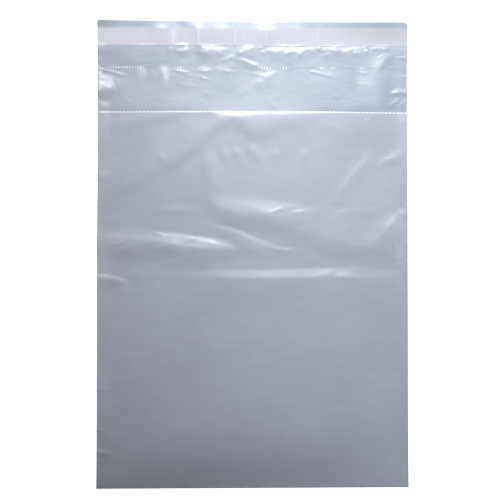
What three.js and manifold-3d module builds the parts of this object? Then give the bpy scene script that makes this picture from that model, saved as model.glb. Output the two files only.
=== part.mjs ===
// A tamper-evident bag of thin plastic film, empty, lying on its back with its mouth open.
// Millimetres. X runs across the bag, +Y from the bottom fold to the lip, +Z up through the front.
// The origin is on the ground, under the middle of the bag.
import * as THREE from 'three';
import { mergeGeometries, mergeVertices } from 'three/addons/utils/BufferGeometryUtils.js';
import Module from 'manifold-3d';

const { lerp, smoothstep } = THREE.MathUtils;

// The film web: one strip, folded at the bottom, whose back panel runs on past the mouth as a lip
const BAG_WIDTH = 254;
const POUCH_LENGTH = 307;
const LIP_LENGTH = 74;
const FILM_GAUGE = 0.08;

// The hot-knife welds along both sides, and the pressed fold at the bottom
const SIDE_WELD = 5;
const FOLD_PRESS = 1.2;
const MELT_DEPTH = 0.04;

// The slack of the front panel: it climbs from the fold, bellies, and gapes at the mouth
const POUCH_RISE = 7.6;
const MOUTH_GAPE = 6.8;
const FOLD_CLIMB = 80;
const MOUTH_SETTLE = 100;

// The closure: adhesive on the lip, and a wider liner over it whose lower edge has come up in ripples
const LINER_SETBACK = 6.2;
const LINER_WIDTH = 13.8;
const LINER_GAUGE = 0.08;
const LINER_OVERHANG = 1.5;
const LINER_LIFT = 0.6;
const LINER_RIPPLE = 36;
const ADHESIVE_GAUGE = 0.05;

// The tear perforation across the lip
const PERFORATION_SETBACK = 38;
const SLIT_LENGTH = 1.4;
const SLIT_WIDTH = 0.25;
const SLIT_PITCH = 2.5;

// Creases of the front panel, each from one point to another, and of the lip.
// A point is the distance across from the middle line and the distance from the mouth.
const PANEL_CREASES = [
  { from: [-122, 94], to: [-14, 112], height: 1.5, width: 7 },
  { from: [-39, 93], to: [52, 120], height: 1.2, width: 6 },
  { from: [-40, 70], to: [54, 81], height: 1.0, width: 9 },
  { from: [59, 76], to: [94, 37], height: 0.9, width: 5 },
  { from: [63, 92], to: [122, 80], height: 1.0, width: 8 },
  { from: [-104, 62], to: [-14, 10], height: -0.8, width: 9 },
];
const LIP_CREASES = [
  { from: [-122, 34], to: [-96, 27], height: 0.7, width: 4 },
  { from: [-16, 43], to: [12, 36], height: 0.9, width: 4 },
  { from: [44, 34], to: [74, 27], height: 0.8, width: 4 },
  { from: [96, 32], to: [116, 48], height: 1.0, width: 5 },
];
// Where the pouch was folded across for packing, as distances from the mouth
const PACKING_FOLDS = [132, 216];
const PACKING_FOLD_HEIGHT = 0.7;
const PACKING_FOLD_WIDTH = 5;
const CREASE_FADE = 22;

// The mesh of the film
const COLUMN_PITCH = 10.2;
const ROW_PITCH = 6;
const LINER_STEP = 5;

// Places that follow from the sizes above
const SIDE = BAG_WIDTH / 2;
const TOP = (POUCH_LENGTH + LIP_LENGTH) / 2;
const BOTTOM = -TOP;
const MOUTH = TOP - LIP_LENGTH;
const WELD_EDGE = SIDE - SIDE_WELD;
const FOLD_EDGE = BOTTOM + FOLD_PRESS;
const LINER_TOP = TOP - LINER_SETBACK;
const LINER_BOTTOM = LINER_TOP - LINER_WIDTH;
const ADHESIVE_TOP = LINER_TOP - LINER_OVERHANG;
const ADHESIVE_BOTTOM = LINER_BOTTOM + LINER_OVERHANG;
const PERFORATION = TOP - PERFORATION_SETBACK;

const wasm = await Module();
wasm.setup();

// Even steps of about the given pitch, both ends included
function steps(start, end, pitch) {
  const count = Math.max(1, Math.round((end - start) / pitch));
  return Array.from({ length: count + 1 }, (_, index) => lerp(start, end, index / count));
}

// A closed sheet of the given gauge over a grid of columns and rows, its underside lifted by the relief
function sheet(columns, rows, gauge, relief) {
  const acrossCount = columns.length - 1;
  const alongCount = rows.length - 1;
  const geometry = new THREE.BoxGeometry(1, 1, 1, acrossCount, alongCount, 1);
  const { position } = geometry.attributes;
  for (let index = 0; index < position.count; index++) {
    const x = columns[Math.round((position.getX(index) + 0.5) * acrossCount)];
    const y = rows[Math.round((position.getY(index) + 0.5) * alongCount)];
    const face = position.getZ(index) + 0.5;
    position.setXYZ(index, x, y, relief(x, y) + gauge * face);
  }
  return geometry;
}

function solidOf(geometry) {
  const bare = geometry.clone();
  bare.deleteAttribute('normal');
  bare.deleteAttribute('uv');
  const welded = mergeVertices(bare);
  return new wasm.Manifold(
    new wasm.Mesh({
      numProp: 3,
      vertProperties: welded.attributes.position.array,
      triVerts: new Uint32Array(welded.index.array),
    }),
  );
}

function geometryOf(solid) {
  const { vertProperties, triVerts } = solid.getMesh();
  const geometry = new THREE.BufferGeometry();
  geometry.setAttribute('position', new THREE.BufferAttribute(vertProperties, 3));
  geometry.setIndex(new THREE.BufferAttribute(triVerts, 1));
  geometry.computeVertexNormals();
  return geometry;
}

// Height that the creases add at a point: each is a ridge that dies away to both its ends
function creaseHeight(creases, across, fromMouth) {
  const point = new THREE.Vector3(across, fromMouth, 0);
  const foot = new THREE.Vector3();
  let sum = 0;
  for (const { from, to, height, width } of creases) {
    const ridge = new THREE.Line3(new THREE.Vector3(...from), new THREE.Vector3(...to));
    const along = ridge.closestPointToPointParameter(point, true);
    const away = ridge.at(along, foot).distanceTo(point);
    sum += height * Math.sin(Math.PI * along) * Math.exp(-((away / width) ** 2));
  }
  return sum;
}

function packingFoldHeight(fromMouth) {
  const ridges = PACKING_FOLDS.map((fold) => Math.exp(-(((fromMouth - fold) / PACKING_FOLD_WIDTH) ** 2)));
  return PACKING_FOLD_HEIGHT * ridges.reduce((sum, ridge) => sum + ridge, 0);
}

// The front panel lies melted into the back at the welds and the fold, and stands off it between them
function frontRelief(x, y) {
  const across = Math.min(1, Math.abs(x) / WELD_EDGE);
  const fromFold = Math.max(0, y - FOLD_EDGE);
  const fromMouth = MOUTH - y;
  const climb = Math.sin((Math.PI / 2) * Math.min(1, fromFold / FOLD_CLIMB));
  const crown = lerp(MOUTH_GAPE, POUCH_RISE, smoothstep(fromMouth, 0, MOUTH_SETTLE));
  const belly = crown * climb * (1 - across ** 2);
  const clearOfEdges = smoothstep(Math.min(WELD_EDGE - Math.abs(x), fromFold), 0, CREASE_FADE);
  const creases = creaseHeight(PANEL_CREASES, x, fromMouth) + packingFoldHeight(fromMouth);
  return FILM_GAUGE - MELT_DEPTH + belly + clearOfEdges * creases;
}

// The back panel lies flat, and its lip has creases between the mouth and the liner
function backRelief(x, y) {
  const clearOfStrip = Math.min(y - MOUTH, LINER_BOTTOM - y, SIDE - Math.abs(x));
  return smoothstep(clearOfStrip, 0, CREASE_FADE / 2) * creaseHeight(LIP_CREASES, x, y - MOUTH);
}

// A row of slits across the lip, with a bridge of film at each side edge
function perforationCut() {
  const centres = steps(-SIDE + SLIT_PITCH, SIDE - SLIT_PITCH, SLIT_PITCH);
  const throughFilm = 2 * (POUCH_RISE + MOUTH_GAPE);
  const slit = new THREE.BoxGeometry(SLIT_LENGTH, SLIT_WIDTH, throughFilm);
  return solidOf(mergeGeometries(centres.map((x) => slit.clone().translate(x, PERFORATION, 0))));
}

function bagFilm() {
  const columns = [-SIDE, ...steps(-WELD_EDGE, WELD_EDGE, COLUMN_PITCH), SIDE];
  const frontRows = [BOTTOM, ...steps(FOLD_EDGE, MOUTH, ROW_PITCH)];
  const backRows = [BOTTOM, ...steps(MOUTH, TOP, ROW_PITCH)];
  const back = solidOf(sheet(columns, backRows, FILM_GAUGE, backRelief));
  const front = solidOf(sheet(columns, frontRows, FILM_GAUGE, frontRelief));
  return geometryOf(back.add(front).subtract(perforationCut()));
}

function adhesiveStrip() {
  const length = ADHESIVE_TOP - ADHESIVE_BOTTOM;
  const strip = new THREE.BoxGeometry(BAG_WIDTH, length, ADHESIVE_GAUGE);
  return strip.translate(0, ADHESIVE_BOTTOM + length / 2, FILM_GAUGE + ADHESIVE_GAUGE / 2);
}

function releaseLiner() {
  const columns = steps(-SIDE, SIDE, LINER_STEP);
  const rows = [LINER_BOTTOM, ADHESIVE_BOTTOM, LINER_TOP];
  const underside = FILM_GAUGE + ADHESIVE_GAUGE;
  const relief = (x, y) => {
    const ripple = 0.5 - 0.5 * Math.cos((2 * Math.PI * x) / LINER_RIPPLE);
    return y < ADHESIVE_BOTTOM ? underside + LINER_LIFT * ripple : underside;
  };
  return sheet(columns, rows, LINER_GAUGE, relief);
}

function piece(name, geometry, color, roughness) {
  const material = new THREE.MeshStandardMaterial({ color, roughness, metalness: 0 });
  const mesh = new THREE.Mesh(geometry, material);
  mesh.name = name;
  return mesh;
}

const bag = new THREE.Group();
bag.name = 'tamper_evident_bag';
bag.add(
  piece('bag_film', bagFilm(), '#a9aebc', 0.3),
  piece('adhesive_strip', adhesiveStrip(), '#d8d4c4', 0.5),
  piece('release_liner', releaseLiner(), '#dadde8', 0.42),
);

export default bag;
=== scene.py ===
"""The looks of a tamper-evident bag: an empty pouch of silver-grey film, its adhesive and its liner."""

import math

import bmesh
import bpy
import numpy as np
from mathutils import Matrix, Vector


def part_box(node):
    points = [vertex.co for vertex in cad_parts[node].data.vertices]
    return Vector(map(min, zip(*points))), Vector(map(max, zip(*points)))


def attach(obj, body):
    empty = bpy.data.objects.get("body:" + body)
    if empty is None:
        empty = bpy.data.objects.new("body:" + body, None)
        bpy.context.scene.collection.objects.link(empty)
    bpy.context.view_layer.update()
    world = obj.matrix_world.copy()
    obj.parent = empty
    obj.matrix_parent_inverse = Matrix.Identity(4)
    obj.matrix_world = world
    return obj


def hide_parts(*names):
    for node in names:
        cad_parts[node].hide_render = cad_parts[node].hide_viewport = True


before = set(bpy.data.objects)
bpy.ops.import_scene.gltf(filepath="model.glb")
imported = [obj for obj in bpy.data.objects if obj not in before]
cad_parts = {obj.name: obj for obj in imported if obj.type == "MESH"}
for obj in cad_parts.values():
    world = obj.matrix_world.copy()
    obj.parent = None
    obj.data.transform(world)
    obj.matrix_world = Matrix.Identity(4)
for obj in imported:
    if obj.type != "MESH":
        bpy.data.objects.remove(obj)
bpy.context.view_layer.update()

# Sizes of the bag, in millimetres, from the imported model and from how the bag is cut
MM = 0.001
film_low, film_high = (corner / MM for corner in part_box("bag_film"))
liner_low, liner_high = (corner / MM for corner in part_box("release_liner"))
strip_low, strip_high = (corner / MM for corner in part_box("adhesive_strip"))
SIDE = film_high.x
TOP = film_high.y
BOTTOM = film_low.y
LIP_LENGTH = 74.0
MOUTH = TOP - LIP_LENGTH
FILM_GAUGE = strip_low.z
STRIP_GAUGE = strip_high.z - strip_low.z
LINER_GAUGE = 0.08
PERFORATION = TOP - 38.0
SLIT_WIDTH = 0.16
SIDE_WELD = 2.5
WELD_EDGE = SIDE - SIDE_WELD
WELD_GAP = 0.02

# Slack of the pouch
POUCH_RISE = 7.6
MOUTH_GAPE = 6.8
FOLD_CLIMB = 48.0
MOUTH_SETTLE = 100.0
CREASE_FADE = 8.0
BELLY_ROUND = 1.35
# How far the gaping mouth lifts the foot of the lip, and how far up the lip that reaches
MOUTH_LIFT = 0.75
LIFT_REACH = 20.0
# How high the slack lip lies, and over what length it comes free of the pouch beside the mouth
LIP_SLACK = 0.4
LIP_RELEASE = 8.0
# The margin over the liner: where its edge starts to curl up and would be fully curled, over what width its
# buckles rise from the edge, and how far under the liner's top edge they fade
CURL_START = TOP - 6.0
CURL_END = TOP + 1.0
BUCKLE_MARGIN = 6.5
BUCKLE_FADE = (2.0, 12.0)

# The liner: over what width its lower edge is loose, by what share of its puffs it comes up, and the width
# of its creases
LOOSE_EDGE = 2.6
PUFF_SHARE = 0.6
RIDGE_WIDTH = 0.9
# Painted highlights on the liner's creases and lower edge: how far beside a crease, how much for its height,
# and over what share of the liner's own width at the lower edge
MARK_REACH = 1.7
MARK_SHARE = 1.7
EDGE_MARK = 0.07

# The cut edge of the mouth: a toothed knife, and a hem that rolls down
TOOTH_DEPTH = 0.5
HEM_DROP = 0.11
SIDE_HEM = 1.2

# How far the loose film draws in at the neck and spreads at the fold, and how its top edge wanders
NECK_DRAW = 0.4
FOLD_SPREAD = 0.3
CORNER_LIFT = 0.3
EDGE_DIP = 1.7
DIP_PLACE = 8.0
DIP_REACH = 13.0
CORNER_RADIUS = 3.5
# Where the neck starts, is narrowest and starts to end, and how far the other movements reach
NECK_START = 20.0
NECK_FULL = 90.0
NECK_END = 150.0
SPREAD_REACH = 30.0
CORNER_START = 20.0
TOP_EDGE_REACH = 24.0

# Grid of the film, with the columns from tooth to tooth and from slit to slit
WEB_COLUMNS = 230
COLUMN_PITCH = 2 * SIDE / WEB_COLUMNS
TOOTH_COLUMNS = 3
SLIT_COLUMNS = 2
HEM_PITCH = 0.7
HEM_DEPTH = 6.3
HOLLOW_DEPTH = 72.0
HOLLOW_PITCH = 2.9
CREASED_DEPTH = 140.0
CREASED_PITCH = 1.2
SMOOTH_PITCH = 10.0
NICKED_BANDS = [(220.0, 229.0), (255.0, 264.0), (273.0, 282.0)]
NICKED_PITCH = 1.5
FOLD_PITCH = 0.7
FOLD_DEPTH = 2.1
BACK_PITCH = 40.0
LIP_PITCH = 0.98
STRIP_PITCH = 1.5
LINER_PITCH = 0.65

# How a crease is shaped across: where its lit flank is steepest, or how both flanks are
ROLLED = "steepest at the foot"
EVEN = "one slope"
PINCHED = "both flanks steepest at the crest"
SOFT = "both flanks rounded"
# How wide a crease still is where its size runs out, as a share
END_SPAN = 0.25
# Which way the second numbers of a crease's points run from the mouth
UP = 1
DOWN = -1
# How far the paths of creases and of packing folds wander, with the seeds and the longest and shortest waves
WANDER = 2.2
FOLD_WANDER = 0.7
WANDER_SEEDS = (41, 43)
WANDER_WAVES = (40, 12)

# Unevenness of limp film: the seed, the longest and shortest waves, and the height
PANEL_WAVES = (3, 120, 50, 0.9)
LIP_WAVES = (7, 90, 34, 0.5)
# How far the waves turn from running along the bag, in radians
WAVE_TURN = 0.6
# Scattered crinkles: the seed, how many, the limits of their field, their heights and their lengths
PANEL_CRINKLES = (11, 30, (-120, 120, MOUTH - 120, MOUTH - 5), (0.03, 0.10), (10, 34))
LIP_CRINKLES = (23, 60, (-120, 120, MOUTH + 6, TOP - 20), (0.03, 0.12), (6, 24))
LINER_FOOT_CRINKLES = (53, 60, (-70, 112, MOUTH + 46, MOUTH + 53), (0.15, 0.36), (3, 9))
# How far they turn from running across and sway, the widths of their flanks, and how many are pinched
CRINKLE_TURN = 0.45
CRINKLE_SWAY = 0.2
CRINKLE_LIT = (2, 4)
CRINKLE_SHADE = (2, 6)
PINCHED_SHARE = 0.6
# Nicks at the side edges: the seed, how many, and their limits along the bag. Two of three are at the left.
PANEL_NICKS = (31, 18, MOUTH - 130, MOUTH - 3)
LIP_NICKS = (37, 16, MOUTH + 3, TOP - 22)
NICK_SIDES = (-1, -1, 1)
# How far outside the edge they start, how long they are, how far they drift, their share of size halfway,
# their heights and the widths of their flanks
NICK_OVERRUN = 2
NICK_LENGTHS = (5, 11)
NICK_DRIFTS = (-4, 2)
NICK_MIDDLE = 0.8
NICK_HEIGHTS = (0.15, 0.4)
NICK_LIT = (1.4, 2.4)
NICK_SHADE = (2, 4)

# How far the marks on the film reach from the cut edge, the slits, the faint fold and the sides: up to where
# they are full, and from where there are none
CUT_EDGE = (0.6, 1.7)
SLIT_EDGE = (0.4, 0.9)
FOLD_LINE = (0.2, 1.2)
MELTED_EDGE = (0.3, 0.9)
# Over what length from the mouth the painted shade turns from the cool unlit colour to a warm brown one
WARM_SHADE_RUN = (120, 240)
# Where the ticks beside the slits begin and are full, as shares of a wave
TICK_RISE = (0.4, 0.75)
# How strong the marks are: the painted highlights at the cut edge, by the slits and at the faint fold, the
# dark of the melted sides, and the painted shadow between the ticks by the slits
CUT_EDGE_GLINT = 0.9
SLIT_GLINT = 0.85
SLIT_SHADOW = 0.5
FOLD_GLINT = 0.035
MELT_STAIN = 0.5

# Colours, from the darker to the paler where a sheet has two
POUCH_SHADES = ((0.285, 0.2945, 0.349, 1), (0.355, 0.3645, 0.423, 1))
LIP_SHADES = ((0.252, 0.271, 0.326, 1), (0.322, 0.344, 0.404, 1))
LINER_SHADES = ((0.36, 0.357, 0.395, 1), (0.425, 0.417, 0.452, 1))
ADHESIVE_SHADES = ((0.58, 0.54, 0.43, 1), (0.70, 0.67, 0.58, 1))
TABLE_SHADES = ((0.80, 0.80, 0.80, 1), (0.82, 0.82, 0.82, 1))
# Painted light and shade: the white of painted highlights on the film and the liner, the dark of the melted
# sides and of painted shadow by the slits, and the cool and the warm colour of painted shade
PAINTED_HIGHLIGHT_FILM = (0.85, 0.86, 0.88, 1)
PAINTED_HIGHLIGHT_LINER = (0.8, 0.8, 0.84, 1)
MELT_AND_SHADOW_FILM = (0.12, 0.13, 0.16, 1)
UNLIT_FILM = (0.07, 0.11, 0.18, 1)
WARM_PAINTED_SHADE = (0.085, 0.065, 0.045, 1)
WHITE = (1, 1, 1, 1)
ROOM_COLOUR = (1, 0.82, 0.76, 1)

# The table and the camera, in metres. The sensor's width is in millimetres, and the leans are in radians.
TABLE_HALF = 3
TABLE_DROP = 0.0004
SENSOR_WIDTH = 36
CAMERA_HEIGHT = 1.0
FRAME_SIDE = 0.4084
AIM = Vector((-0.0025, 0.0032, 0))
LEAN_UP = 0.0184
LEAN_RIGHT = 0.0315

# Creases of the front panel. A path runs through points given as millimetres across from the middle line,
# millimetres down from the mouth, and the share of the crease's full size there.
# Its left hand is the lit flank, its right hand the shaded one. Then come the height, the widths of the lit
# and the shaded flank, and the shape across.
PANEL_CREASES = [
    # the long crease from the left side, and the grooves that cut into it
    ([(-124, 108, 0), (-116, 109, 0.26), (-107, 109.4, 0.58), (-97, 109.2, 0.7), (-86, 109.2, 0.6),
      (-75, 109.6, 0.4), (-62, 110.4, 0.15), (-52, 111.4, 0)], 3.9, 19.5, 24, EVEN),
    ([(-112, 105, 0), (-104, 105.2, 0.1), (-93, 104.8, 0.32), (-82, 105.4, 0.65), (-70, 107.8, 0.95),
      (-58, 110, 1), (-46, 111.3, 1), (-36, 111.8, 0.86), (-25, 112.4, 0.64), (-15, 113.4, 0.4),
      (-6, 114.5, 0)], 2.25, 9, 20, EVEN),
    ([(-70, 101.2, 0), (-62, 102.6, 0.7), (-53, 103.6, 1), (-45, 105.4, 1), (-36, 108.2, 1),
      (-26, 110.8, 0.95), (-17, 112.8, 0.8), (-8, 114.6, 0)], 0.42, 2.8, 10, EVEN),
    ([(-84, 97.5, 0), (-77, 99.6, 1), (-68, 101.6, 0.5), (-60, 102, 0)], 0.45, 2.4, 3, PINCHED),
    ([(-121, 114, 0), (-114.5, 112.4, 0.8), (-108, 110.2, 1), (-99.5, 107.6, 0.8), (-90, 105, 0)],
     -0.45, 2.6, 4, PINCHED),
    ([(-93, 113, 0), (-84.5, 110.4, 0.8), (-76, 107.4, 1), (-68, 104.6, 0.8), (-60, 102.2, 0)],
     -0.5, 2.2, 4, PINCHED),
    ([(-62, 113, 0), (-54.5, 109.2, 1), (-49, 106, 0.8), (-43, 103, 0)], -0.45, 2.2, 5, PINCHED),
    # the crease that runs down to the right of it
    ([(-40, 95.5, 0), (-27, 99, 0.7), (-12, 105, 1), (0, 110, 1), (10, 113, 0.8), (20, 114.6, 0.5),
      (30, 114.8, 0.4), (37, 115.4, 0.42), (46, 118.8, 0.36), (58, 123, 0)], 0.85, 7.5, 14, ROLLED),
    ([(6, 110.6, 0), (18, 113.4, 0.8), (28, 114, 1), (37, 114.4, 0)], 0.4, 2, 4, PINCHED),
    # the ledge under the bright field, its glints, and the field's left edge
    ([(-42, 66, 0), (-36, 72.4, 0.4), (-29, 78.6, 0.65), (-16, 82.8, 0.85), (0, 85, 0.92), (12, 87, 0.85),
      (20, 87, 0.75), (26, 86, 0.6), (34, 86, 0.5), (46, 85, 0.35), (57, 83, 0)], 2.1, 18, 17, SOFT),
    ([(7, 84.8, 0), (14, 83.8, 0.7), (22, 80, 1), (27, 82.8, 0)], 0.27, 1.8, 3, PINCHED),
    ([(25, 83.4, 0), (34, 82.8, 0.9), (40, 82.4, 1), (48, 81.6, 0)], 0.34, 2.2, 4, PINCHED),
    ([(-37, 28, 0.2), (-36.5, 40, 0.8), (-35, 50, 1), (-34, 62, 1), (-33, 70, 0.6), (-31, 76, 0)],
     0.65, 13, 10, SOFT),
    # the short pleats across the top of the field
    ([(-23.5, 30, 0), (-23, 35, 1), (-22.4, 40, 0.7), (-22, 50, 0)], 0.32, 5, 7, SOFT),
    ([(-14, 29.5, 0), (-13, 34.5, 1), (-11.5, 40, 0.7), (-10, 51, 0)], 0.44, 5.5, 7, SOFT),
    ([(-6, 28.5, 0), (-1.5, 32.5, 1), (3, 36.5, 0.9), (8.5, 42, 0.5), (12, 50, 0)], 0.46, 7, 8, SOFT),
    ([(17, 31, 0), (18.5, 35, 1), (20, 39.5, 0.8), (22, 49, 0)], 0.44, 5, 7, SOFT),
    ([(44.5, 30, 0), (43, 35, 1), (40.5, 40, 0.7), (38, 49, 0)], 0.5, 5, 7, SOFT),
    # the roll that goes from the ledge down to the right side
    ([(0, 84, 0), (15, 87, 0.5), (30, 92, 0.8), (48, 98, 1), (66, 103, 1), (84, 107.5, 0.8), (97, 110.5, 0.4),
      (105, 112, 0)], 1.5, 26, 20, SOFT),
    # the soft hollows under the mouth
    ([(-117, 69, 0), (-108, 65, 0.4), (-94, 57, 0.65), (-79, 47, 0.8), (-64, 39.5, 0.9), (-53, 30, 1),
      (-42, 20.5, 1), (-29, 9.5, 1), (-17, 6.5, 0.8), (-6, 10, 0.8), (2, 17, 0.6), (7, 25.5, 0)],
     1.5, 22, 12, SOFT),
    ([(4, 26, 0), (11, 17.5, 0.8), (20, 11.5, 1), (32, 8.5, 0.8), (46, 7, 0.5), (60, 6, 0)],
     0.62, 18, 9, SOFT),
    ([(-117, 21, 0), (-106, 13, 0.8), (-94, 8, 1), (-82, 4.5, 1), (-65, 2, 0.8), (-48, 0, 0)],
     0.85, 14, 9, SOFT),
    ([(44, 15, 0), (58, 13.5, 1), (72, 16, 1), (86, 21, 0)], 0.3, 8, 5, SOFT),
    # the creases towards the right side
    ([(58, 80, 0), (70, 66.5, 0.7), (80, 55, 0.9), (88.5, 44.5, 1), (94, 37, 0.9), (98, 32, 0)],
     0.62, 4.4, 12, EVEN),
    ([(70, 111, 0), (86, 111, 0.4), (99, 108, 0.7), (110, 101.5, 0.9), (117.5, 93, 0.72), (123, 86, 0.4),
      (128, 79, 0)], 2.3, 19, 34, SOFT),
    ([(63, 93, 0), (67.5, 86.5, 0.8), (74, 82.5, 1), (85, 81.3, 1), (96, 80.4, 0.7), (109, 79, 0)],
     0.35, 5, 10, SOFT),
    # the roll of film above the packing fold
    ([(30, 113, 0), (50, 113.5, 0.6), (70, 113, 0.9), (95, 113.5, 1), (112, 112, 0.7), (126, 110, 0)],
     0.3, 20, 18, SOFT),
    # the roll over the bottom fold
    ([(-127, 278, 0), (-104, 281, 0.8), (-60, 283, 1), (0, 285, 0.9), (50, 286, 0.6), (92, 287, 0)],
     1.5, 80, 36, SOFT),
    # small ones
    ([(87, 8, 0), (94, 6.5, 1), (101, 4, 0)], 0.35, 2.6, 3, PINCHED),
    ([(-82, 38.5, 0), (-75, 36.8, 1), (-68, 37.8, 0)], 0.5, 4, 5, PINCHED),
    ([(-72, 31, 0), (-67.5, 33.2, 1), (-63, 35.5, 0)], 0.18, 2, 2, PINCHED),
    ([(-83, 80.5, 0), (-73, 80.5, 0.8), (-61, 80, 1), (-51, 79.8, 0.8), (-41, 78, 0)], 0.4, 4, 7, EVEN),
    ([(-102, 167, 0), (-75, 164, 0.8), (-45, 158, 1), (-20, 152, 0.7), (2, 146, 0)], 0.5, 12, 16, SOFT),
    ([(-104, 135, 0), (-94, 133, 1), (-84, 129.5, 0)], 0.3, 4, 6, SOFT),
]
# Creases of the front panel that run out at its side edges
EDGE_CREASES = [
    ([(-133, 105.4, 0.8), (-122, 107.2, 1), (-111, 108.8, 0.7), (-98, 109.6, 0)], 1.1, 12, 20, EVEN),
    ([(-133, 136, 1), (-121, 136, 1), (-111, 137.6, 0.9), (-103, 140, 0.5), (-97, 142, 0)],
     0.9, 3.8, 8, ROLLED),
    ([(-133, 220.5, 1), (-123, 221.6, 0.8), (-113, 222.5, 0)], 0.5, 3, 4, EVEN),
    ([(-133, 226, 1), (-122, 227, 0.8), (-112, 229, 0)], 0.6, 3.4, 5, EVEN),
    ([(-133, 259, 1), (-122, 260, 0.8), (-113, 262, 0)], 0.5, 3.2, 5, EVEN),
    ([(-133, 277, 1), (-121, 278, 0.9), (-112, 280, 0)], 0.8, 3.6, 6, EVEN),
    ([(98, 46, 0), (106, 42, 0.8), (113, 38.5, 1), (120, 35.4, 0.9), (128, 31.5, 0.4)], 1.0, 3.8, 6, EVEN),
    ([(-130, 54, 0.8), (-123, 53.5, 0.9), (-117, 52.5, 0.5), (-111, 51, 0)], 0.9, 7, 7, SOFT),
    ([(99, 104.5, 0), (108, 97.5, 0.5), (115, 91, 0.9), (121, 85.8, 1), (132, 78, 0.9)], 0.5, 5, 8, EVEN),
]
# Where the bag was folded across for packing
PACKING_FOLDS = [
    ([(-62, 134, 0), (-36, 135, 0.5), (-16, 136, 0.7), (10, 136.4, 0.8), (33, 136.2, 0.9), (50, 136, 1),
      (66, 136.2, 1), (84, 136, 0.95), (98, 136.3, 0.95), (111, 136.4, 0.8), (120, 136, 0.5), (127, 136, 0)],
     2.0, 8.4, 40, EVEN),
    ([(44, 134.6, 0), (54, 133.6, 0.7), (62, 133, 1), (70, 133.4, 0)], 0.34, 4, 4, EVEN),
    ([(64, 135.2, 0), (72, 134.4, 0.9), (80, 134.6, 1), (93, 135, 0)], 0.5, 3.4, 4, EVEN),
]
# How far the second packing fold, a faint line, lies from the mouth
FAINT_FOLD = 215.5
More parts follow.
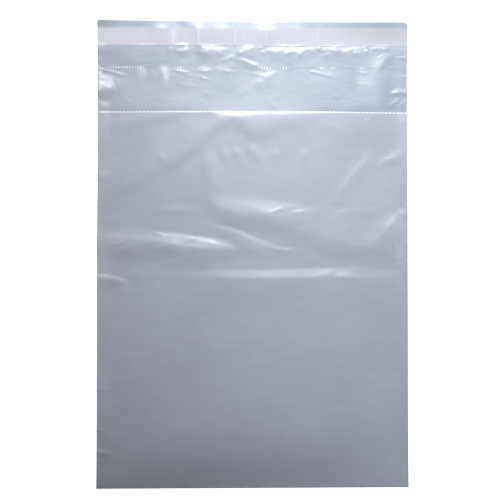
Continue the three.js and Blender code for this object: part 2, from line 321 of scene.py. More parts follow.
# Creases of the lip, whose points are across from the middle line and up from the mouth
LIP_CREASES = [
    # the crumple at the left side
    ([(-133, 35.5, 1), (-121, 32.6, 1), (-110, 30.4, 0.9), (-97, 27, 0)], 0.52, 2.2, 2.6, PINCHED),
    ([(-117, 31, 0), (-112, 25, 0.7), (-109, 18, 1), (-107.5, 9, 0)], 0.4, 14, 2.6, SOFT),
    ([(-133, 19.5, 1), (-124, 19, 1), (-117, 17.5, 0.9), (-111, 14.5, 0.4), (-107, 12.5, 0)],
     1.9, 12, 11, EVEN),
    ([(-133, 30, 1), (-125, 28.5, 1), (-118, 26, 0)], 0.5, 2.4, 3, PINCHED),
    ([(-133, 25.5, 1), (-125, 23.5, 0.9), (-119, 20, 0)], 0.45, 2.2, 3, PINCHED),
    ([(-130, 6.5, 1), (-122, 5.5, 0.9), (-114, 3.5, 0)], 0.45, 2.2, 2.5, PINCHED),
    # the dark band between the liner and the perforation
    ([(-127, 54, 1), (-90, 54, 1), (-62, 54, 0.7), (-46, 54, 0)], 1.2, 26, 22.5, SOFT),
    ([(40, 54, 0), (60, 53, 0.5), (95, 52, 0.7), (127, 52, 1)], 0.85, 26, 21, SOFT),
    # short ones under the perforation
    ([(-92.5, 40, 0), (-91.5, 34, 1), (-91, 30, 0.9), (-90.5, 25.5, 0)], 0.25, 6, 6, SOFT),
    ([(-75, 40, 0), (-74, 34, 1), (-73, 28, 0.9), (-72.5, 23, 0.6), (-72, 18.5, 0)], 0.3, 6, 6, SOFT),
    ([(-68, 35, 0), (-58, 33.8, 1), (-48, 32, 0)], 0.42, 1.9, 2.5, PINCHED),
    ([(-62, 31.2, 0), (-54, 30.2, 1), (-46, 28.6, 0)], 0.2, 1.6, 2, PINCHED),
    ([(-47, 34.8, 0), (-40, 33.6, 1), (-31, 33.8, 0)], 0.38, 2.2, 3, PINCHED),
    ([(-48, 28.8, 0), (-41, 26.6, 1), (-34, 25.4, 0)], 0.36, 1.8, 2.2, PINCHED),
    ([(-28, 34, 0), (-21, 32.6, 1), (-13, 32.5, 0)], 0.34, 2, 3, PINCHED),
    # the bright ones in the middle
    ([(-22, 46.6, 0), (-14, 43.6, 0.6), (-6, 41.2, 0.9), (1, 38, 1), (7, 35, 0)], 0.54, 2.6, 7, EVEN),
    ([(-30, 41, 0), (-22, 43.2, 1), (-15, 47, 0.8), (-9, 49, 0)], 0.28, 3, 4, PINCHED),
    ([(-13, 34, 0), (-3, 31.6, 0.8), (8, 29.4, 1), (17, 27, 0)], 0.14, 1.8, 3, PINCHED),
    ([(-1, 20.5, 0), (6, 24, 1), (13, 28.4, 1), (22, 34.2, 0)], 0.42, 4.8, 8, SOFT),
    ([(4, 33.6, 0), (11, 33, 1), (18, 33.8, 0)], 0.09, 2, 2.4, PINCHED),
    # the ones at the right
    ([(43, 34, 0), (48, 32.8, 1), (57, 30.9, 0.8), (66, 28.9, 0.5), (79, 26, 0)], 0.33, 1.7, 3, PINCHED),
    ([(83, 24.4, 0), (90, 24, 1), (98, 23.5, 0)], 0.2, 1.8, 4, PINCHED),
    ([(84, 33.6, 0), (91, 32.8, 1), (98, 32.4, 0)], 0.45, 2, 2.5, PINCHED),
    ([(98, 31, 0), (101.5, 35, 0.5), (104.5, 39, 0.8), (108, 42, 1), (112, 44.2, 1), (117, 46.5, 0)],
     0.5, 4.4, 6, SOFT),
    ([(101, 41, 0), (105, 44.5, 1), (111, 46.8, 0)], 0.4, 1.8, 2, PINCHED),
    ([(103, 33.5, 0), (107, 37.5, 1), (112, 40.5, 0)], 0.34, 1.8, 2, PINCHED),
    ([(116, 43.5, 0), (123, 44, 0.9), (133, 43.6, 1)], 0.4, 1.8, 2.2, PINCHED),
    ([(117, 30, 0), (124, 29.4, 0.9), (133, 29.6, 1)], 0.35, 1.8, 2.2, PINCHED),
    ([(112, 15, 0), (118, 15.4, 0.9), (124, 15.6, 1), (133, 15.6, 1)], 0.75, 3, 4, EVEN),
    ([(108, 2, 0), (114, 5, 1), (120, 9.5, 0.8), (124, 14, 0)], 0.35, 3, 4, PINCHED),
    ([(116, 1.5, 0), (121, 4.5, 1), (127, 8.5, 0.6)], 0.3, 2.4, 3, PINCHED),
    # where the film stands up just under the liner's edge
    ([(-133, 52.6, 1), (-124, 52.2, 1), (-117, 52.8, 0)], 0.5, 3, 7, EVEN),
    ([(-67, 51, 0), (-61, 49.4, 0.9), (-56, 49.2, 1), (-50, 51, 0)], 0.42, 2, 8, EVEN),
    ([(-47, 52.8, 0), (-42, 51.6, 0.9), (-37, 50.4, 1), (-30, 50.8, 0.9), (-24, 51.8, 0.5), (-19, 52.5, 0)],
     0.55, 3.2, 12, EVEN),
    ([(-18, 48.6, 0), (-13, 49.4, 0.8), (-7, 50.6, 1), (-1, 52, 0.8), (4, 53, 0)], 0.55, 3.2, 12, EVEN),
    ([(13, 52.5, 0), (18, 50.8, 0.9), (25, 49.4, 1), (32, 49.2, 1), (40, 50.7, 0.8), (47, 52.2, 0.6),
      (53, 53, 0)], 0.54, 3.2, 13, EVEN),
    ([(54, 53, 0), (62, 51.8, 0.8), (70, 50.4, 1), (76, 50, 1), (80, 51.5, 0.7), (88, 52, 0.6),
      (96, 52.8, 0)], 0.38, 2.8, 12, EVEN),
    ([(95, 52.8, 0), (102, 51.8, 0.7), (109, 51.8, 0.8), (116, 52.6, 0)], 0.45, 2.6, 7, EVEN),
    # small ones just above the mouth
    ([(-106, 7.6, 0), (-102.6, 8, 1), (-99, 8, 0)], 0.15, 1.5, 1.5, PINCHED),
    ([(-89, 4, 0), (-81, 5.3, 1), (-75, 5.6, 0)], 0.2, 1.5, 2, PINCHED),
]
# Painted light and shade of the lip, in paler or darker patches: across, up from the mouth, the half sizes,
# and by what share
LIP_PAINTED_LIGHT_AND_SHADE = [
    # painted highlights at the crumple by the left side
    (-121, 24, 9, 12, 0.15), (-125.5, 31.5, 3.5, 3, 0.5), (-125.5, 27, 3.5, 3, 0.4),
    (-124, 22.5, 3.5, 3, 0.4), (-126, 18, 3, 3, 0.4), (-121, 5.5, 7, 3.5, 0.25),
    # painted highlights under the perforation
    (-91.3, 32.5, 6, 9, 0.2), (-93.5, 36, 5, 3, 0.15), (-74, 34.5, 9, 5, 0.2), (-71.7, 28.5, 4, 10, 0.2),
    (-41, 35.8, 11, 3.5, 0.19), (-26, 36, 9, 3, 0.14), (-60, 35.4, 8, 2.2, 0.14), (104, 39, 13, 13, 0.2),
    (92, 26, 13, 10, 0.13),
    # painted shade on slack places of the film
    (29, 33.5, 6, 10, -0.14), (81, 28, 7, 17, -0.14), (111, 22, 12, 38, -0.32), (124, 30, 6, 34, -0.06),
    (-118, 46, 26, 15, -0.07), (10, 4, 56, 8, -0.07), (-84, 37.5, 54, 7, -0.15), (66, 37, 42, 7, -0.11),
    (-50, 37, 14, 7, -0.08), (14, 37, 13, 8, -0.1),
    # painted light over the liner and over the mouth
    (-102, 71, 36, 6, 0.12), (-84, 17, 28, 12, 0.05), (-60, 11, 18, 8, 0.1), (2, 23, 34, 8, 0.07),
]
# The same for the pouch, whose second numbers run down from the mouth
POUCH_PAINTED_LIGHT_AND_SHADE = [
    # painted shade, darker towards the left bottom corner, the bottom fold and the left side
    (-135, 318, 190, 115, -0.24), (-60, 314, 220, 24, -0.28), (-127, 268, 32, 60, -0.05),
    # painted light at the right: by the mouth, at the bottom corner, and where a crease runs out
    (122, 20, 8, 26, 0.04), (123, 4, 7, 7, 0.15), (124.5, 298, 6, 6, 0.36), (122, 81, 6, 4, 0.16),
    (119, 91, 10, 9, 0.06),
    # painted light in the middle, under the ledge and over the long crease
    (25, 180, 85, 55, 0.045), (22, 91, 34, 12, 0.05), (-104, 101, 18, 8, 0.06), (-66, 101, 16, 6, 0.06),
    # painted shade under the mouth and at the left
    (-122, 74, 28, 22, -0.13), (-96, 22, 38, 20, -0.11), (94, 20, 38, 20, -0.08), (-92, 70, 34, 24, -0.1),
]
# The same for the liner, whose second numbers run up from the mouth
LINER_PAINTED_LIGHT_AND_SHADE = [
    # painted shade at the right end and in a patch at the left, painted light at the left and by a crease,
    # and a painted highlight by the lower edge
    (106, 65, 62, 14, -0.24), (-120, 58, 50, 14, 0.1), (-77, 67, 14, 8, -0.08), (-66, 62, 6, 16, 0.12),
    (-58, 55, 8, 2.5, 0.4),
]
# Where the liner's lower edge has come up: middle across, half length and height
LINER_PUFFS = [
    (-124, 6, 0.5), (-80, 17, 0.25), (-58, 7, 0.8), (-38, 9, 0.5), (-24, 9, 0.4), (-3, 8, 0.4),
    (24, 10, 0.6), (41, 11, 0.6), (62, 7, 0.5), (73, 9, 0.4), (106, 12, 0.4),
]
# Where the hem of the mouth rolls down over a wider strip: middle across, half length and added width
HEM_ROLLS = [(-46, 12, 1.2), (-14, 26, 4), (24, 64, 2.6)]
# Where the margin over the liner buckles up, and where its edge curls up, given the same way
MARGIN_BUCKLES = [
    (-79, 10, 0.36), (-46, 6, 0.4), (-27, 10, 0.2), (11, 13, 0.38), (35, 13, 0.2), (56, 9, 0.22),
]
MARGIN_CURLS = [(-120, 36, 2.2), (-90, 22, 1.2), (-56, 8, 0.5), (60, 36, 0.4), (108, 44, 1.5)]
# Where the perforation has painted highlights, and where the mouth's edge has its painted highlight solid:
# middle across, half length and share
PERFORATION_MARKS = [
    (-110, 13, 1.2), (-100, 10, 0.8), (-92, 5, 0.7), (-73, 6, 0.8), (-60, 6, 1.2), (-51, 4, 0.7),
    (-40, 7, 0.7), (-28, 6, 0.6), (10, 8, 1.2), (26, 6, 1), (57, 5, 1), (66, 5, 1), (90, 6, 1.1),
]
MOUTH_MARKS = [
    (-122, 6, 1), (-48, 16, 1), (-22, 14, 1), (0, 40, 1), (24, 40, 1), (46, 28, 1), (122, 5, 1),
]
# Where the liner's lower edge has a painted highlight, given the same way
LINER_EDGE_MARKS = [
    (-124, 8, 1), (-88, 24, 0.8), (-58, 9, 1), (-34, 16, 1), (-4, 9, 0.9), (30, 22, 1), (68, 16, 0.9),
    (106, 12, 0.7),
]
# Creases across the liner: place and height
LINER_CREASES = [
    (-66, 0.2), (-45, 0.36), (-31, 0.14), (-15, 0.3), (-8, 0.14), (10.5, 0.24), (36, 0.12), (53, 0.24),
]


def smooth_step(value, start, end):
    share = np.clip((value - start) / (end - start), 0, 1)
    return share * share * (3 - 2 * share)


def stations(start, end, pitch):
    """Even steps of about the given pitch, both ends included."""
    count = max(1, round(abs(end - start) / pitch))
    return list(np.linspace(start, end, count + 1))


def bump_row(x, rows):
    """Rounded bumps along x, each given as its middle, half length and height."""
    total = np.zeros(np.shape(x))
    for middle, half, height in rows:
        total += height * (1 - smooth_step(np.abs(x - middle), 0, half))
    return total


def patches(x, y, rows):
    """Rounded patches, each given as its middle across and along, its half sizes and its share."""
    total = np.zeros(x.shape)
    for across, along, half_across, half_along, share in rows:
        away = np.hypot((x - across) / half_across, (y - along) / half_along)
        total += share * (1 - smooth_step(away, 0, 1))
    return total


def flowing_path(points, steps=6):
    """A smooth path through the given points."""
    points = np.array(points, float)
    ends = np.vstack([2 * points[0] - points[1], points, 2 * points[-1] - points[-2]])
    path = []
    for before, start, end, after in zip(ends, ends[1:], ends[2:], ends[3:]):
        for share in np.arange(steps) / steps:
            bend = 2 * before - 5 * start + 4 * end - after
            twist = 3 * (start - end) + after - before
            path.append(start + 0.5 * share * (end - before + share * (bend + share * twist)))
    path.append(points[-1])
    return np.array(path)


def along_path(x, y, path):
    """Where points lie by a path: the offset to its left, and the share of full size at the nearest place."""
    nearest = np.full(x.shape, np.inf)
    offset = np.zeros(x.shape)
    size = np.zeros(x.shape)
    for start, end in zip(path, path[1:]):
        step = end - start
        from_x = x - start[0]
        from_y = y - start[1]
        share = np.clip((from_x * step[0] + from_y * step[1]) / (step[0] ** 2 + step[1] ** 2), 0, 1)
        away = np.hypot(from_x - share * step[0], from_y - share * step[1])
        left = np.sign(step[0] * from_y - step[1] * from_x)
        closer = away < nearest
        nearest = np.where(closer, away, nearest)
        offset = np.where(closer, left * away, offset)
        size = np.where(closer, start[2] + share * step[2], size)
    return offset, np.clip(size, 0, 1)


def flank(share, kind):
    """Height left on a flank, from one at the crest to none at the foot."""
    share = np.clip(share, 0, 1)
    if kind == ROLLED:
        return 1 - share**2
    if kind == PINCHED:
        return (1 - share) ** 2
    if kind == EVEN:
        return 1 - share
    return 1 - share * share * (3 - 2 * share)


def crease_height(x, y, points, height, lit, shade, kind):
    """A crease along a path: it falls over the lit width on the left and the shade width on the right."""
    path = flowing_path(points)
    reach = max(lit, shade)
    beside = (x > path[:, 0].min() - reach) & (x < path[:, 0].max() + reach)
    abreast = (y > path[:, 1].min() - reach) & (y < path[:, 1].max() + reach)
    near = beside & abreast
    offset, size = along_path(x[near], y[near], path)
    span = END_SPAN + (1 - END_SPAN) * size
    lit_side = flank(offset / (lit * span), kind)
    shade_side = flank(-offset / (shade * span), PINCHED if kind == PINCHED else SOFT)
    total = np.zeros(x.shape)
    total[near] = height * size * span * np.where(offset > 0, lit_side, shade_side)
    return total


def creases(x, y, rows, sense, wander=WANDER):
    """The sum of a list of creases, whose second numbers run from the mouth in the given sense of y."""
    uneven_x = x + slack_waves(x, y, WANDER_SEEDS[0], *WANDER_WAVES, wander)
    uneven_y = y + slack_waves(x, y, WANDER_SEEDS[1], *WANDER_WAVES, wander)
    total = np.zeros(x.shape)
    for points, height, lit, shade, kind in rows:
        path = [(across, MOUTH + sense * distance, size) for across, distance, size in points]
        total += crease_height(uneven_x, uneven_y, path, height, lit, shade, kind)
    return total


def slack_waves(x, y, seed, longest, shortest, height, count=9):
    """Gentle unevenness of limp film: a few seeded waves, mostly across the bag."""
    draw = np.random.default_rng(seed)
    total = np.zeros(x.shape)
    for _ in range(count):
        length = draw.uniform(shortest, longest)
        heading = draw.normal(math.pi / 2, WAVE_TURN)
        phase = draw.uniform(0, 2 * math.pi)
        total += np.sin((x * math.cos(heading) + y * math.sin(heading)) * 2 * math.pi / length + phase)
    return height * total / count


def crinkles(x, y, seed, count, field, heights, lengths):
    """Short seeded creases scattered over a field given as its left, right, low and high limits."""
    draw = np.random.default_rng(seed)
    total = np.zeros(x.shape)
    left, right, low, high = field
    for _ in range(count):
        middle = np.array([draw.uniform(left, right), draw.uniform(low, high)])
        half = draw.uniform(*lengths) / 2
        heading = draw.normal(0, CRINKLE_TURN)
        run = half * np.array([math.cos(heading), math.sin(heading)])
        sway = np.array([-run[1], run[0]]) * draw.uniform(-CRINKLE_SWAY, CRINKLE_SWAY)
        path = [(*(middle - run), 0), (*(middle + sway), 1), (*(middle + run), 0)]
        kind = PINCHED if draw.uniform() < PINCHED_SHARE else SOFT
        height = draw.uniform(*heights)
        lit = draw.uniform(*CRINKLE_LIT)
        shade = draw.uniform(*CRINKLE_SHADE)
        total += crease_height(x, y, path, height, lit, shade, kind)
    return total


def edge_nicks(x, y, seed, count, low, high):
    """Small seeded creases that start at the cut side edges."""
    draw = np.random.default_rng(seed)
    total = np.zeros(x.shape)
    for _ in range(count):
        side = draw.choice(NICK_SIDES)
        start = np.array([side * (SIDE + NICK_OVERRUN), draw.uniform(low, high)])
        end = start + np.array([-side * draw.uniform(*NICK_LENGTHS), draw.uniform(*NICK_DRIFTS)])
        path = [(*start, 1), (*(0.5 * (start + end)), NICK_MIDDLE), (*end, 0)]
        path = path if side < 0 else path[::-1]
        height = draw.uniform(*NICK_HEIGHTS)
        lit = draw.uniform(*NICK_LIT)
        shade = draw.uniform(*NICK_SHADE)
        total += crease_height(x, y, path, height, lit, shade, PINCHED)
    return total


def hem_drop(x, from_mouth):
    """How far the cut edge of the front panel rolls down, over a hem that is wider in the middle."""
    hem = SIDE_HEM + bump_row(x, HEM_ROLLS)
    return HEM_DROP * hem * np.clip(1 - from_mouth / hem, 0, 1) ** 2


def front_height(x, y):
    """Height of the front panel over the welded film at its edges."""
    across = np.minimum(1, np.abs(x) / WELD_EDGE)
    from_fold = np.maximum(0, y - BOTTOM - FOLD_DEPTH)
    from_mouth = MOUTH - y
    climb = np.sin(math.pi / 2 * np.minimum(1, from_fold / FOLD_CLIMB))
    crown = MOUTH_GAPE + (POUCH_RISE - MOUTH_GAPE) * smooth_step(from_mouth, 0, MOUTH_SETTLE)
    belly = crown * climb * (1 - across**2) ** BELLY_ROUND
    clear = smooth_step(np.minimum(WELD_EDGE - np.abs(x), from_fold), 0, CREASE_FADE)
    relief = creases(x, y, PANEL_CREASES, DOWN) + creases(x, y, PACKING_FOLDS, DOWN, FOLD_WANDER)
    relief += slack_waves(x, y, *PANEL_WAVES)
    relief += crinkles(x, y, *PANEL_CRINKLES)
    at_edges = creases(x, y, EDGE_CREASES, DOWN) + edge_nicks(x, y, *PANEL_NICKS)
    return np.maximum(0, belly + clear * (relief - hem_drop(x, from_mouth)) + at_edges)


def lip_height(x, y):
    """Height of the lip over the ground it lies on."""
    from_mouth = y - MOUTH
    middle = 1 - (x / SIDE) ** 2
    free = smooth_step(from_mouth + LIP_RELEASE * middle**2, 0, LIP_RELEASE)
    relief = creases(x, y, LIP_CREASES, UP)
    relief += LIP_SLACK + slack_waves(x, y, *LIP_WAVES)
    relief += crinkles(x, y, *LIP_CRINKLES)
    relief += edge_nicks(x, y, *LIP_NICKS)
    relief += crinkles(x, y, *LINER_FOOT_CRINKLES)
    relief += smooth_step(y, CURL_START, CURL_END) * bump_row(x, MARGIN_CURLS)
    buckle = smooth_step(TOP - y, 0, BUCKLE_MARGIN) * (1 - smooth_step(liner_high.y - y, *BUCKLE_FADE))
    relief += buckle * bump_row(x, MARGIN_BUCKLES)
    gape = MOUTH_LIFT * middle**3 * np.clip(1 - np.abs(from_mouth) / LIFT_REACH, 0, 1) ** 2
    return np.maximum(0, free * relief + gape)


def settled(x, y):
    """Where the slack film comes to lie: drawn in at the neck, spread at the fold, uneven at the top edge."""
    neck = smooth_step(y, NECK_START, NECK_FULL) * (1 - smooth_step(y, NECK_END, TOP))
    spread = 1 - smooth_step(y, BOTTOM, BOTTOM + SPREAD_REACH)
    across = x * (1 + (FOLD_SPREAD * spread - NECK_DRAW * neck) / SIDE)
    corner = CORNER_LIFT * smooth_step(-x, CORNER_START, SIDE)
    dip = EDGE_DIP * np.exp(-(((x - DIP_PLACE) / DIP_REACH) ** 2))
    along = y + (corner - dip) * smooth_step(y, TOP - TOP_EDGE_REACH, TOP)
    past_side = np.maximum(0, x - SIDE + CORNER_RADIUS)
    past_top = np.maximum(0, y - TOP + CORNER_RADIUS)
    drawn_in = 1 - np.maximum(past_side, past_top) / np.maximum(np.hypot(past_side, past_top), 1e-6)
    rounded = np.where((past_side > 0) & (past_top > 0), drawn_in, 0)
    return across - rounded * past_side, along - rounded * past_top


def film_rows():
    """Rows of the web from the front panel's mouth edge, round the bottom fold, to the top of the lip."""
    front = stations(MOUTH, MOUTH - HEM_DEPTH, HEM_PITCH)
    front += stations(front[-1], MOUTH - HOLLOW_DEPTH, HOLLOW_PITCH)[1:]
    front += stations(front[-1], MOUTH - CREASED_DEPTH, CREASED_PITCH)[1:]
    for start, end in NICKED_BANDS:
        front += stations(front[-1], MOUTH - start, SMOOTH_PITCH)[1:]
        front += stations(front[-1], MOUTH - end, NICKED_PITCH)[1:]
    front += stations(front[-1], BOTTOM + FOLD_DEPTH, SMOOTH_PITCH)[1:]
    front += stations(front[-1], BOTTOM + FOLD_PITCH, FOLD_PITCH)[1:]
    back = stations(BOTTOM + FOLD_PITCH, MOUTH, BACK_PITCH)
    back += stations(MOUTH, PERFORATION - SLIT_WIDTH / 2, LIP_PITCH)[1:]
    back += stations(PERFORATION + SLIT_WIDTH / 2, TOP, LIP_PITCH)
    return front, back


def grid_places(bm, row_count, column_count):
    """The points of a unit grid, each with its row and its column."""
    for vert in bm.verts:
        row = round((vert.co.y + 0.5) * (row_count - 1))
        column = round((vert.co.x + 0.5) * (column_count - 1))
        yield vert, row, column


def paint(bm, name, values):
    """Keep a number at each point of a unit grid, for the finish to read."""
    layer = bm.verts.layers.float.new(name)
    for vert, row, column in grid_places(bm, *values.shape):
        vert[layer] = values[row, column]


def lay_grid(bm, x, y, z):
    """Move the points of a unit grid to the given places."""
    for vert, row, column in grid_places(bm, *x.shape):
        vert.co = Vector((x[row, column], y[row, column], z[row, column])) * MM


def map_web(bm, columns, run):
    """The film's own map: how far across the bag, and how far along the web from the mouth."""
    web = bm.loops.layers.uv.new("web")
    for vert, row, column in grid_places(bm, len(run), len(columns)):
        for loop in vert.link_loops:
            loop[web].uv = (columns[column] * MM, run[row] * MM)


def cut_slits(bm, row_count, slit_row):
    """The tear perforation: slits along one row of the grid, with a bridge of film at each side edge."""
    slits = []
    for face in bm.faces:
        middle = face.calc_center_median()
        row = int((middle.y + 0.5) * (row_count - 1))
        column = int((middle.x + 0.5) * WEB_COLUMNS)
        if row == slit_row and column % SLIT_COLUMNS and 0 < column < WEB_COLUMNS - 1:
            slits.append(face)
    bmesh.ops.delete(bm, geom=slits, context="FACES_ONLY")


def bag_film():
    """The folded web of film, from the mouth round the bottom fold to the top of the lip."""
    front, back = film_rows()
    rows = np.array(front + [BOTTOM] + back)
    columns = np.linspace(-SIDE, SIDE, WEB_COLUMNS + 1)
    x, y = np.meshgrid(columns, rows)
    back_start = len(front) + 1
    z = np.empty(x.shape)
    z[:back_start] = 1.5 * FILM_GAUGE + WELD_GAP + front_height(x[:back_start], y[:back_start])
    z[back_start:] = 0.5 * FILM_GAUGE + lip_height(x[back_start:], y[back_start:])
    z[len(front)] = FILM_GAUGE + WELD_GAP / 2
    settled_x, settled_y = settled(x, y)
    settled_y[0] -= TOOTH_DEPTH * (np.arange(WEB_COLUMNS + 1) % TOOTH_COLUMNS != 1)
    run = np.concatenate([[0], np.cumsum(np.hypot(np.diff(rows), np.diff(z[:, WEB_COLUMNS // 2])))])

    # The painted light and shade of the film, in patches: paler where positive, darker where negative
    light_and_shade_patches = np.empty(x.shape)
    light_and_shade_patches[:back_start] = patches(x[:back_start], MOUTH - y[:back_start], POUCH_PAINTED_LIGHT_AND_SHADE)
    light_and_shade_patches[back_start:] = patches(x[back_start:], y[back_start:] - MOUTH, LIP_PAINTED_LIGHT_AND_SHADE)
    # Where the painted highlight of the mouth's cut edge is solid, and where the perforation's ticks are
    # painted
    glint_marks = np.empty(x.shape)
    glint_marks[:back_start] = np.clip(bump_row(columns, MOUTH_MARKS), 0, 1)
    glint_marks[back_start:] = np.clip(bump_row(columns, PERFORATION_MARKS), 0, 1)

    bm = bmesh.new()
    bmesh.ops.create_grid(bm, x_segments=WEB_COLUMNS, y_segments=len(rows) - 1, size=0.5)
    map_web(bm, columns, run)
    cut_slits(bm, len(rows), back_start + back.index(PERFORATION - SLIT_WIDTH / 2))
    paint(bm, "glint_marks", glint_marks)
    paint(bm, "painted_light_and_shade", light_and_shade_patches)
    lay_grid(bm, settled_x, settled_y, z)
    film = finished_piece("bag_film_web", bm, FILM_GAUGE)

    lip_run = np.interp(MOUTH, rows[back_start:], run[back_start:]) * MM
    perforation_run = np.interp(PERFORATION, rows[back_start:], run[back_start:]) * MM
    fold_run = np.interp(FAINT_FOLD, MOUTH - rows[:back_start], run[:back_start]) * MM
    film.data.materials.append(film_finish(lip_run, perforation_run, fold_run))
    return film


def strip_lift(x, y):
    """The adhesive lies on the lip."""
    return 0.5 * FILM_GAUGE + 0.5 * STRIP_GAUGE


def liner_lift(x, y):
    """The liner lies on the adhesive; its lower edge has come up in ripples, and it is creased across."""
    ridges = sum(height * np.exp(-(((x - across) / RIDGE_WIDTH) ** 2)) for across, height in LINER_CREASES)
    loose = smooth_step(liner_low.y + LOOSE_EDGE - y, 0, LOOSE_EDGE)
    curl = loose * PUFF_SHARE * bump_row(x, LINER_PUFFS)
    return 0.5 * FILM_GAUGE + STRIP_GAUGE + 0.5 * LINER_GAUGE + ridges + curl


def strip_sheet(name, low, high, pitch, gauge, lift):
    """A strip across the lip that follows it, its middle lifted by the given function of x and y."""
    rows = np.array(stations(low, high, pitch))
    columns = np.linspace(-SIDE, SIDE, WEB_COLUMNS + 1)
    x, y = np.meshgrid(columns, rows)
    z = 0.5 * FILM_GAUGE + lip_height(x, y) + lift(x, y)
    # Painted highlights on the liner's creases and along its lower edge
    marks = [(place, MARK_REACH, MARK_SHARE * height) for place, height in LINER_CREASES]
    glint_marks = np.empty(x.shape)
    glint_marks[:] = np.clip(bump_row(columns, marks), 0, 1)
    glint_marks[rows < low + EDGE_MARK * (high - low)] = np.clip(bump_row(columns, LINER_EDGE_MARKS), 0, 1)

    bm = bmesh.new()
    bmesh.ops.create_grid(bm, x_segments=WEB_COLUMNS, y_segments=len(rows) - 1, size=0.5)
    paint(bm, "glint_marks", glint_marks)
    # Painted light and shade of the liner, in patches, kept for the finish
    paint(bm, "painted_light_and_shade", patches(x, y - MOUTH, LINER_PAINTED_LIGHT_AND_SHADE))
    lay_grid(bm, *settled(x, y), z)
    return finished_piece(name, bm, gauge)


def finished_piece(name, bm, gauge):
    """A thin sheet with its real gauge, smooth shaded, riding on the bag."""
    bmesh.ops.recalc_face_normals(bm, faces=bm.faces)
    for face in bm.faces:
        face.smooth = True
    for edge in bm.edges:
        edge.smooth = not edge.is_boundary
    mesh = bpy.data.meshes.new(name)
    bm.to_mesh(mesh)
    bm.free()
    piece = bpy.data.objects.new(name, mesh)
    bpy.context.scene.collection.objects.link(piece)
    wall = piece.modifiers.new("gauge", "SOLIDIFY")
    wall.thickness = gauge * MM
    wall.offset = 0
    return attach(piece, "root")


class Shade:
    """One socket of a material's nodes. Arithmetic on it adds Math nodes."""

    def __init__(self, tree, socket=None):
        self.tree = tree
        self.socket = socket

    def node(self, kind, settings=None, sockets=None, output=0):
        made = self.tree.nodes.new(kind)
        for name, setting in (settings or {}).items():
            setattr(made, name, setting)
        for name, value in (sockets or {}).items():
            self.feed(made.inputs[name], value)
        return Shade(self.tree, made.outputs[output] if made.outputs else None)

    def feed(self, target, value):
        if isinstance(value, Shade):
            self.tree.links.new(value.socket, target)
        else:
            target.default_value = value

    def sum_up(self, operation, left, right):
        return self.node("ShaderNodeMath", {"operation": operation}, {0: left, 1: right})

    def __add__(self, other):
        return self.sum_up("ADD", self, other)

    def __radd__(self, other):
        return self.sum_up("ADD", other, self)

    def __sub__(self, other):
        return self.sum_up("SUBTRACT", self, other)

    def __rsub__(self, other):
        return self.sum_up("SUBTRACT", other, self)

    def __mul__(self, other):
        return self.sum_up("MULTIPLY", self, other)

    def __rmul__(self, other):
        return self.sum_up("MULTIPLY", other, self)


def new_finish(name):
    """An empty material, and the wrapper that adds its nodes."""
    material = bpy.data.materials.new(name)
    material.use_nodes = True
    material.node_tree.nodes.clear()
    return material, Shade(material.node_tree)


def stretched(add, coordinates, scale):
    return add.node("ShaderNodeMapping", {}, {"Vector": coordinates, "Scale": scale})


def noise(add, coordinates, scale, detail=3.0, roughness=0.55):
    sockets = {"Vector": coordinates, "Scale": scale, "Detail": detail, "Roughness": roughness}
    return add.node("ShaderNodeTexNoise", {}, sockets)


def mixed(add, share, first, second):
    return add.node("ShaderNodeMix", {"data_type": "RGBA"}, {0: share, 6: first, 7: second}, output=2)


def bumped(add, height, strength, distance):
    return add.node("ShaderNodeBump", {}, {"Height": height, "Strength": strength, "Distance": distance})


def surface(add, shader):
    add.node("ShaderNodeOutputMaterial", {}, {"Surface": shader})


def ramped(add, value, start, end):
    """Nought up to the start, one from the end, even between them."""
    return add.node("ShaderNodeMapRange", {}, {"Value": value, "From Min": start, "From Max": end})


def waves(add, value, length):
    """Nought to one and back in each length."""
    return 0.5 + 0.5 * add.node("ShaderNodeMath", {"operation": "SINE"}, {0: value * (2 * math.pi / length)})


def size_of(add, value):
    return add.node("ShaderNodeMath", {"operation": "ABSOLUTE"}, {0: value})


def near_line(add, away, full, none):
    """One up to the first distance from a line, in millimetres, and nought from the second."""
    return 1 - ramped(add, size_of(add, away), full * MM, none * MM)


def painted(add, name):
    """The numbers that were kept at the points of a sheet."""
    return add.node("ShaderNodeAttribute", {"attribute_name": name}, output="Fac")


def lit_and_shaded_by_paint(add, colour, dark):
    """A colour made paler by the sheet's painted light, or drawn towards the dark one by its painted shade.
    """
    painted_light_and_shade = painted(add, "painted_light_and_shade")
    paler = mixed(add, ramped(add, painted_light_and_shade, 0, 1), colour, PAINTED_HIGHLIGHT_FILM)
    return mixed(add, ramped(add, painted_light_and_shade, 0, -1), paler, dark)


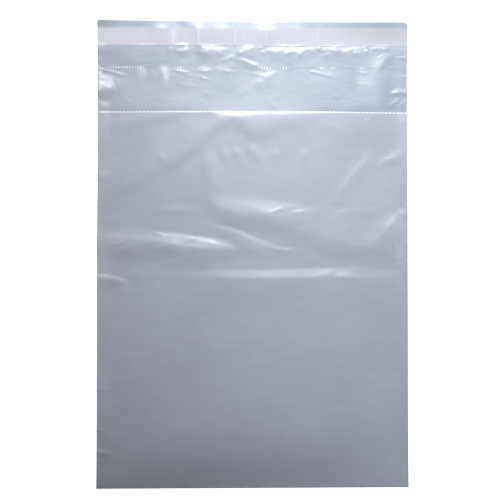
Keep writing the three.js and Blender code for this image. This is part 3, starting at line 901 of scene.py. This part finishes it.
def film_finish(lip_run, perforation_run, fold_run):
    """Film with drawn streaks, painted highlights at the cut, painted light and shade, dark where melted."""
    material, add = new_finish("silver_grey_film")
    web = add.node("ShaderNodeUVMap", {"uv_map": "web"})
    across = add.node("ShaderNodeSeparateXYZ", {}, {0: web}, output=0)
    run = add.node("ShaderNodeSeparateXYZ", {}, {0: web}, output=1)
    on_lip = ramped(add, run, lip_run - MM, lip_run + MM)
    drawn_streaks = noise(add, stretched(add, web, (45, 520, 1)), 1.0, 4.0)
    haze = noise(add, web, 22.0, 4.0)
    mottle = noise(add, stretched(add, web, (60, 170, 1)), 1.0, 3.0)
    grain = noise(add, stretched(add, web, (900, 1500, 1)), 1.0, 2.0)
    crinkle = noise(add, stretched(add, web, (90, 300, 1)), 1.0, 3.0, 0.6)
    glint_marks = painted(add, "glint_marks")

    teeth = 0.4 + 0.4 * waves(add, across, TOOTH_COLUMNS * COLUMN_PITCH * MM)
    ticks = ramped(add, waves(add, across, SLIT_COLUMNS * COLUMN_PITCH * MM), *TICK_RISE)
    beside_cut = near_line(add, run, *CUT_EDGE)
    beside_slits = near_line(add, run - perforation_run, *SLIT_EDGE)
    beside_fold = near_line(add, run - fold_run, *FOLD_LINE)
    beside_weld = near_line(add, SIDE * MM - size_of(add, across), *MELTED_EDGE)
    # Painted highlights: white along the mouth's cut edge, solid or dotted by the teeth, white ticks by the
    # slits, and a faint light line at the packing fold
    painted_glints = CUT_EDGE_GLINT * beside_cut * (glint_marks + (1 - glint_marks) * teeth)
    painted_glints = painted_glints + SLIT_GLINT * beside_slits * ticks * glint_marks
    painted_glints = painted_glints + FOLD_GLINT * beside_fold * haze
    # Dark of the melted sides, and painted shadow in the gaps between the ticks by the slits
    melt_and_shadow = MELT_STAIN * beside_weld + SLIT_SHADOW * beside_slits * (ticks + glint_marks - 2 * ticks * glint_marks)

    streaked = 0.2 + 0.3 * on_lip
    paleness = streaked * drawn_streaks + (1 - streaked) * haze + 0.7 * (mottle - 0.5)
    pouch = mixed(add, paleness, *POUCH_SHADES)
    lip = mixed(add, paleness, *LIP_SHADES)
    # Painted shade: cool and unlit near the mouth, warm brown towards the bottom
    warm_shade_share = ramped(add, run, WARM_SHADE_RUN[0] * MM, WARM_SHADE_RUN[1] * MM) - on_lip
    dark = mixed(add, warm_shade_share, UNLIT_FILM, WARM_PAINTED_SHADE)
    colour = lit_and_shaded_by_paint(add, mixed(add, on_lip, pouch, lip), dark)
    colour = mixed(add, painted_glints, colour, PAINTED_HIGHLIGHT_FILM)
    colour = mixed(add, melt_and_shadow, colour, MELT_AND_SHADOW_FILM)
    gloss = 0.40 + 0.10 * haze + 0.04 * drawn_streaks
    relief = (0.03 + 0.09 * on_lip) * drawn_streaks + 0.5 * on_lip * crinkle + 0.06 * grain
    shader = add.node(
        "ShaderNodeBsdfPrincipled",
        {},
        {
            "Base Color": colour,
            "Roughness": gloss,
            "Specular IOR Level": 0.3,
            "Coat Weight": 0.3 + 0.2 * haze,
            "Coat Roughness": 0.3,
            "Normal": bumped(add, relief, 1.0, 0.0003),
        },
    )
    surface(add, shader)
    return material


def liner_finish():
    material, add = new_finish("release_liner_film")
    place = add.node("ShaderNodeTexCoord", output=3)
    mottle = noise(add, place, 40.0, 4.0)
    fibres = noise(add, stretched(add, place, (700, 120, 1)), 1.0, 3.0)
    glint_marks = painted(add, "glint_marks")
    colour = mixed(add, mottle, *LINER_SHADES)
    # Painted highlights on the creases and the lower edge, then painted light and shade in patches
    colour = mixed(add, 0.6 * glint_marks * glint_marks, colour, PAINTED_HIGHLIGHT_LINER)
    colour = lit_and_shaded_by_paint(add, colour, WARM_PAINTED_SHADE)
    shader = add.node(
        "ShaderNodeBsdfPrincipled",
        {},
        {
            "Base Color": colour,
            "Roughness": 0.48 + 0.16 * mottle,
            "Specular IOR Level": 0.3,
            "Normal": bumped(add, fibres, 0.1, 0.0002),
        },
    )
    surface(add, shader)
    return material


def adhesive_finish():
    material, add = new_finish("closure_adhesive")
    place = add.node("ShaderNodeTexCoord", output=3)
    drag = noise(add, stretched(add, place, (30, 900, 1)), 1.0, 3.0)
    colour = mixed(add, drag, *ADHESIVE_SHADES)
    shader = add.node(
        "ShaderNodeBsdfPrincipled",
        {},
        {
            "Base Color": colour,
            "Roughness": 0.3 + 0.2 * drag,
            "Normal": bumped(add, drag, 0.3, 0.0002),
        },
    )
    surface(add, shader)
    return material


def floor_finish():
    material, add = new_finish("white_table")
    place = add.node("ShaderNodeTexCoord", output=3)
    mottle = noise(add, place, 3.0)
    lit = add.node("ShaderNodeBsdfDiffuse", {}, {"Color": mixed(add, mottle, *TABLE_SHADES)})
    glow = add.node("ShaderNodeEmission", {}, {"Color": WHITE, "Strength": 0.78})
    both = add.node("ShaderNodeAddShader", {}, {0: lit, 1: glow})
    seen = seen_rays(add)
    surface(add, add.node("ShaderNodeMixShader", {}, {0: seen, 1: lit, 2: both}))
    return material


def seen_rays(add):
    """One for the rays that show the background, straight or in a gloss."""
    camera = add.node("ShaderNodeLightPath", output="Is Camera Ray")
    glossy = add.node("ShaderNodeLightPath", output="Is Glossy Ray")
    through = add.node("ShaderNodeLightPath", output="Is Transmission Ray")
    return camera + glossy + through


def stand_for(node):
    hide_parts(node)


def white_table():
    bm = bmesh.new()
    bmesh.ops.create_grid(bm, x_segments=1, y_segments=1, size=TABLE_HALF)
    bmesh.ops.translate(bm, verts=bm.verts, vec=(0, 0, -TABLE_DROP))
    mesh = bpy.data.meshes.new("table")
    bm.to_mesh(mesh)
    bm.free()
    top = bpy.data.objects.new("table", mesh)
    bpy.context.scene.collection.objects.link(top)
    top.data.materials.append(floor_finish())
    return top


def lamp(name, place, aim, size, power, colour, beam=180):
    light = bpy.data.lights.new(name, "AREA")
    light.shape = "DISK"
    light.size = size
    light.energy = power
    light.color = colour
    light.spread = math.radians(beam)
    holder = bpy.data.objects.new(name, light)
    holder.location = place
    holder.rotation_euler = (Vector(aim) - Vector(place)).to_track_quat("-Z", "Y").to_euler()
    holder.visible_camera = False
    bpy.context.scene.collection.objects.link(holder)


# The bag
film = bag_film()
stand_for("bag_film")

strip = strip_sheet("adhesive_line", strip_low.y, strip_high.y, STRIP_PITCH, STRIP_GAUGE, strip_lift)
strip.data.materials.append(adhesive_finish())
stand_for("adhesive_strip")

liner = strip_sheet("liner_tape", liner_low.y, liner_high.y, LINER_PITCH, LINER_GAUGE, liner_lift)
liner.data.materials.append(liner_finish())
stand_for("release_liner")

# The table, the lamps and the camera
table = white_table()

lamp("window", (0.05, 0.47, 0.58), (0.04, 0.13, 0), 0.2, 3.05, (0.92, 0.96, 1.0), beam=112)
lamp("far_window", (0.46, -0.12, 0.36), (0.05, -0.05, 0), 0.2, 0.75, (0.80, 0.91, 1.0))

world = bpy.data.worlds.new("room")
world.use_nodes = True
world.node_tree.nodes.clear()
room = Shade(world.node_tree)
walls = room.node("ShaderNodeBackground", {}, {"Color": ROOM_COLOUR, "Strength": 0.045})
backdrop = room.node("ShaderNodeBackground", {}, {"Color": WHITE, "Strength": 1.0})
sky = room.node("ShaderNodeMixShader", {}, {0: seen_rays(room), 1: walls, 2: backdrop})
room.node("ShaderNodeOutputWorld", {}, {"Surface": sky})
bpy.context.scene.world = world

camera_data = bpy.data.cameras.new("camera")
camera_data.sensor_width = SENSOR_WIDTH
camera_data.lens = SENSOR_WIDTH * CAMERA_HEIGHT / FRAME_SIDE
camera = bpy.data.objects.new("camera", camera_data)
camera.location = AIM + Vector((-LEAN_RIGHT, -LEAN_UP, 1)) * CAMERA_HEIGHT
camera.rotation_euler = (LEAN_UP, -LEAN_RIGHT, 0)
bpy.context.scene.collection.objects.link(camera)
bpy.context.scene.camera = camera
bpy.context.scene.view_settings.view_transform = "Standard"
